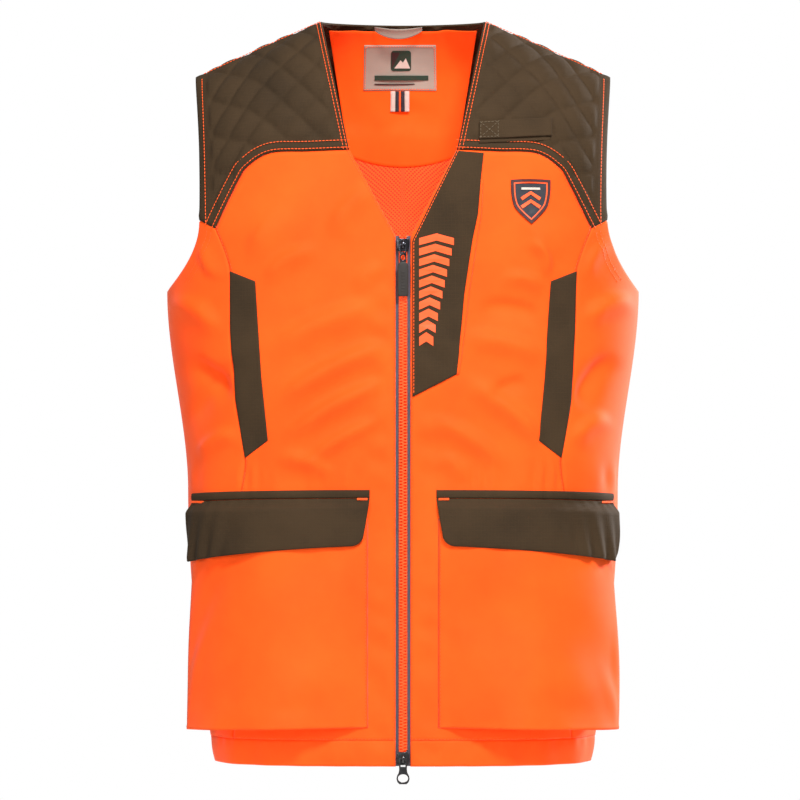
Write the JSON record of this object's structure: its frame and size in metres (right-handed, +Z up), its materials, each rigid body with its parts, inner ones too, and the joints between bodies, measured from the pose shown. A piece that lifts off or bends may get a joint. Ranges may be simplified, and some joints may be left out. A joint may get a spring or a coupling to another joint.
{
  "type": "field vest",
  "caption": "Sleeveless zip-front hi-vis field vest with quilted shoulder yokes, bellows cargo pockets with flaps, and hand-warmer pockets.",
  "frame": {"origin": "where a hook holds the hanger loop, inside the back neck", "axes": "+Z up from hem to neck, -Y out of the front, +X towards the wearer's left"},
  "size_m": [0.462, 0.222, 0.7404],
  "materials": {
    "orange_shell": "fine woven polyester, matt",
    "olive_cloth": "ripstop-like canvas, matt",
    "orange_facing": "plain woven cloth",
    "orange_mesh": "knitted mesh lining",
    "wadding": "polyester wadding",
    "zip_tape": "woven tape",
    "zip_teeth": "moulded acetal",
    "slider_metal": "dark plated zinc",
    "puller_rubber": "moulded soft plastic",
    "label_cloth": "woven label",
    "badge": "embroidered patch"
  },
  "bodies": {
    "back": {"back_panel": "orange_shell", "back_hem": "orange_shell", "back_mesh_lining": "orange_mesh", "back_yoke": "olive_cloth", "back_armhole_facing_left": "orange_facing", "back_armhole_facing_right": "orange_facing", "back_neck_facing": "orange_facing", "neck_label": "label_cloth", "ribbon_tab": "label_cloth", "hanger_loop": "label_cloth"},
    "front_left": {"front_panel_left": "orange_shell", "side_panel_left": "orange_shell", "front_yoke_left": "olive_cloth", "yoke_wadding_left": "wadding", "front_hem_left": "orange_shell", "front_mesh_lining_left": "orange_mesh", "front_armhole_facing_left": "orange_facing", "hand_pocket_bag_left": "orange_facing", "hand_pocket_welt_left": "olive_cloth", "cargo_pocket_left": "orange_shell", "flap_band_left": "olive_cloth", "zip_tape_left": "zip_tape", "zip_teeth_left": "zip_teeth", "top_stop_left": "zip_teeth", "zip_insertion_pin": "zip_teeth", "chest_insert": "olive_cloth", "chest_pocket_welt": "orange_shell", "chest_badge": "badge", "tab_base": "olive_cloth"},
    "front_right": {"front_panel_right": "orange_shell", "side_panel_right": "orange_shell", "front_yoke_right": "olive_cloth", "yoke_wadding_right": "wadding", "front_hem_right": "orange_shell", "front_mesh_lining_right": "orange_mesh", "front_armhole_facing_right": "orange_facing", "hand_pocket_bag_right": "orange_facing", "hand_pocket_welt_right": "olive_cloth", "cargo_pocket_right": "orange_shell", "flap_band_right": "olive_cloth", "zip_tape_right": "zip_tape", "zip_teeth_right": "zip_teeth", "top_stop_right": "zip_teeth", "zip_retaining_pin": "zip_teeth"},
    "flap_left": {"cargo_flap_left": "olive_cloth"},
    "flap_right": {"cargo_flap_right": "olive_cloth"},
    "tab": {"tab_strap": "olive_cloth"},
    "top_slider": {"top_slider": "slider_metal", "top_slider_bridge": "slider_metal"},
    "top_pull": {"top_pull": "slider_metal", "top_puller": "puller_rubber"},
    "bottom_slider": {"bottom_slider": "slider_metal", "bottom_slider_bridge": "slider_metal"},
    "bottom_pull": {"bottom_pull": "slider_metal"}
  },
  "joints": [
    {"name": "front_left_swing", "type": "hinge", "parent": "back", "child": "front_left", "pos_m": [0.1965, -0.04776, -0.7085], "axis": [0.0857, 0, 0.9963], "range_deg": [0, 40], "deforming": ["zip_teeth_left", "zip_tape_left"]},
    {"name": "front_right_swing", "type": "hinge", "parent": "back", "child": "front_right", "pos_m": [-0.1875, -0.04776, -0.7085], "axis": [0.0857, 0, -0.9963], "range_deg": [0, 40], "deforming": ["zip_teeth_right", "zip_tape_right"]},
    {"name": "flap_left_lift", "type": "hinge", "parent": "front_left", "child": "flap_left", "pos_m": [0.1345, -0.14465, -0.4525], "axis": [-0.9238, -0.383, 0], "range_deg": [0, 100]},
    {"name": "flap_right_lift", "type": "hinge", "parent": "front_right", "child": "flap_right", "pos_m": [-0.1255, -0.14465, -0.4525], "axis": [-0.9238, 0.383, 0], "range_deg": [0, 100]},
    {"name": "tab_lift", "type": "hinge", "parent": "front_left", "child": "tab", "pos_m": [0.07948, -0.14904, -0.09444], "axis": [0.082, -0.1734, -0.9814], "range_deg": [0, 60]},
    {"name": "top_slider_run", "type": "slide", "parent": "front_left", "child": "top_slider", "axis": [0, 0, 1], "range_m": [-0.435, 0]},
    {"name": "top_pull_swing", "type": "hinge", "parent": "top_slider", "child": "top_pull", "pos_m": [0.0045, -0.15871, -0.206], "axis": [-1, 0, 0], "range_deg": [0, 150]},
    {"name": "bottom_slider_run", "type": "slide", "parent": "front_left", "child": "bottom_slider", "axis": [0, 0, 1], "range_m": [0, 0.435]},
    {"name": "bottom_pull_swing", "type": "hinge", "parent": "bottom_slider", "child": "bottom_pull", "pos_m": [0.0045, -0.15871, -0.701], "axis": [-1, 0, 0], "range_deg": [0, 150]}
  ]
}
